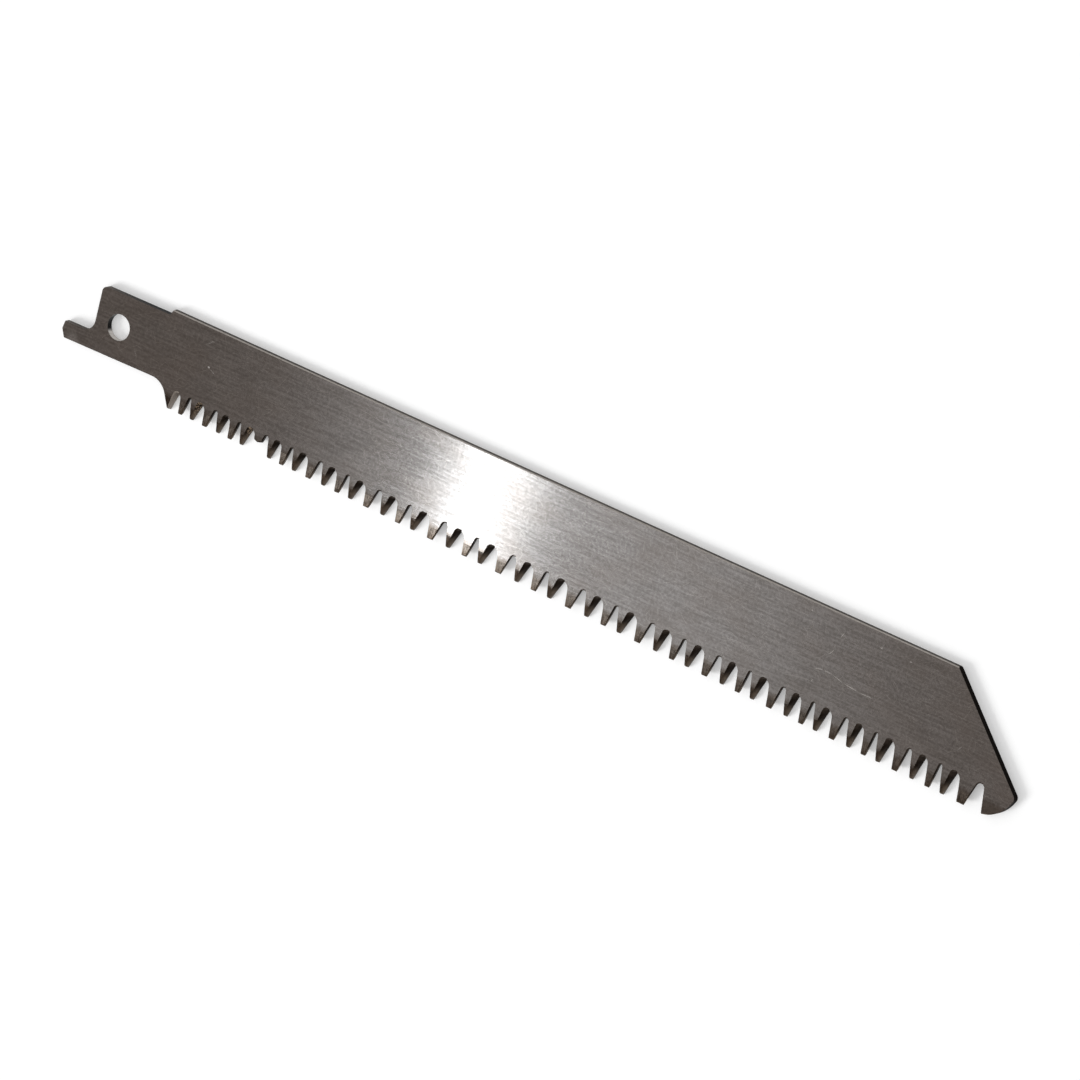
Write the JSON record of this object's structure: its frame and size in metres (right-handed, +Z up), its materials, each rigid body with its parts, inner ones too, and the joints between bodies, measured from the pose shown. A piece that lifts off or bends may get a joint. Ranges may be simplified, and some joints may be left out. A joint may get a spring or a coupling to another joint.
{
  "type": "reciprocating saw blade",
  "caption": "Flat steel saw blade for a reciprocating saw, with a notched shank, a pin hole, a slanting tip and ground, set teeth.",
  "frame": {"origin": "axis of the shank's hole, on the plate's underside", "axes": "+X along the stroke from the shank to the tip, +Y from the teeth to the spine, +Z up through the plate"},
  "size_m": [0.228, 0.0274, 0.0017],
  "materials": {
    "blade_steel": "ground and lightly brushed carbon tool steel, bare"
  },
  "bodies": {
    "root": {"blade": "blade_steel"}
  },
  "joints": []
}
